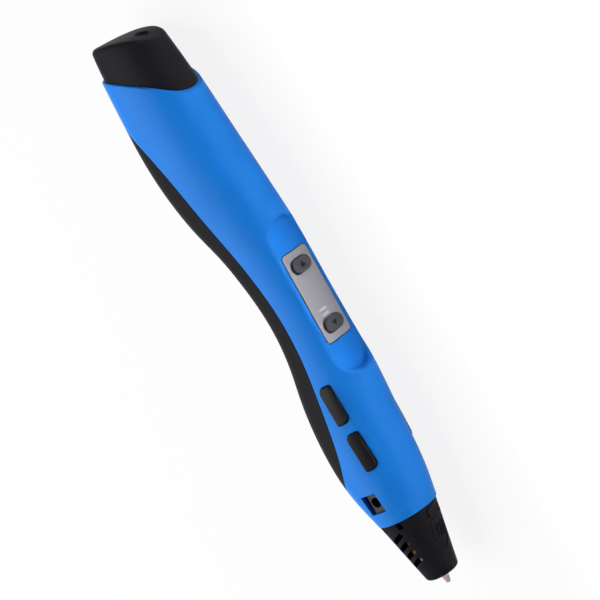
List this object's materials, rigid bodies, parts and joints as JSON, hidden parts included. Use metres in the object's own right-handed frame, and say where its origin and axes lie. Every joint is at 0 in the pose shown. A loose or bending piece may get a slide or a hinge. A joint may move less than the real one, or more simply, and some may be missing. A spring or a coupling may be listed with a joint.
{
  "type": "3d printing pen",
  "caption": "Hand-held 3D printing pen with a waisted two-tone shell, thumb dish with keys, side buttons, slanted tail cap with filament inlet, vented nose and ceramic nozzle.",
  "frame": {"origin": "centre of the nozzle's orifice, at the tip", "axes": "+X out of the nozzle along the pen, +Y towards the thumb dish and its keys, +Z towards the side with the power socket and the pair of side buttons, uppermost when the pen lies on a table"},
  "size_m": [0.1829, 0.0313, 0.0228],
  "materials": {
    "blue_shell": "satin",
    "black_shell": "satin",
    "plate": "satin",
    "key": "satin",
    "ceramic": "matte",
    "socket": "matte",
    "steel": "satin",
    "brass": "satin",
    "aluminium": "satin",
    "board": "satin",
    "chip": "matte",
    "white_plastic": "satin",
    "tube": "satin",
    "insulation": "matte"
  },
  "bodies": {
    "housing": {"upper_shell": "blue_shell", "belly_shell": "black_shell", "tail_cap": "black_shell", "inlet_bush": "black_shell", "nose_cover": "black_shell", "key_plate": "plate", "power_jack": "socket", "power_pin": "steel", "jack_board": "board", "main_board": "board", "key_switches": "steel", "board_parts": "chip", "side_board": "board", "side_switches": "steel", "left_board": "board", "left_switch": "steel", "rear_guide_tube": "tube", "front_guide_tube": "tube", "tube_coupler": "brass", "heat_break": "steel", "hot_end_carrier": "white_plastic", "nozzle": "ceramic", "heater_jacket": "ceramic", "insulation_sleeve": "insulation", "thermistor": "ceramic", "feed_motor": "steel", "gearbox": "steel", "shaft_bushes": "brass", "drive_frame": "chip", "idler_pin": "steel", "idler_spring": "steel", "case_screws": "steel", "frame_screws": "steel"},
    "rear_key_body": {"rear_key": "key"},
    "front_key_body": {"front_key": "key"},
    "right_rear_button_body": {"right_rear_button": "black_shell"},
    "right_front_button_body": {"right_front_button": "black_shell"},
    "left_button_body": {"left_button": "black_shell"},
    "feed_wheel": {"feed_shaft": "steel", "drive_wheel": "steel", "crown_gear": "white_plastic", "shaft_collar": "aluminium"},
    "motor_rotor": {"motor_shaft": "steel", "motor_pinion": "brass"},
    "idler": {"idler_arm": "white_plastic", "roller_pin": "steel"},
    "roller": {"idler_roller": "steel"}
  },
  "joints": [
    {"name": "rear_key_press", "type": "slide", "parent": "housing", "child": "rear_key_body", "axis": [-0.0419, -0.9991, 0], "range_m": [0, 0.0004], "stiffness_N_per_m": 400},
    {"name": "front_key_press", "type": "slide", "parent": "housing", "child": "front_key_body", "axis": [-0.0419, -0.9991, 0], "range_m": [0, 0.0004], "stiffness_N_per_m": 400},
    {"name": "right_rear_button_press", "type": "slide", "parent": "housing", "child": "right_rear_button_body", "axis": [0, -0.2588, -0.9659], "range_m": [0, 0.0004], "stiffness_N_per_m": 400},
    {"name": "right_front_button_press", "type": "slide", "parent": "housing", "child": "right_front_button_body", "axis": [0, -0.2588, -0.9659], "range_m": [0, 0.0004], "stiffness_N_per_m": 400},
    {"name": "left_button_press", "type": "slide", "parent": "housing", "child": "left_button_body", "axis": [0, -0.2588, 0.9659], "range_m": [0, 0.0004], "stiffness_N_per_m": 400},
    {"name": "feed_spin", "type": "hinge", "parent": "housing", "child": "feed_wheel", "pos_m": [-0.128, -0.00032, 0], "axis": [0, 0, 1], "continuous": true},
    {"name": "motor_spin", "type": "hinge", "parent": "housing", "child": "motor_rotor", "pos_m": [-0.1338, -0.00032, 0], "axis": [1, 0, 0], "continuous": true},
    {"name": "idler_swing", "type": "hinge", "parent": "housing", "child": "idler", "pos_m": [-0.1356, 0.00942, 0], "axis": [0, 0, 1], "range_deg": [0, 2.5], "stiffness_Nm_per_rad": 0.6, "deforming": ["idler_spring"]},
    {"name": "roller_spin", "type": "hinge", "parent": "idler", "child": "roller", "pos_m": [-0.128, 0.00852, 0], "axis": [0, 0, 1], "continuous": true}
  ],
  "couplings": [
    {"joint": "motor_spin", "follows": "feed_spin", "ratio": 3}
  ]
}
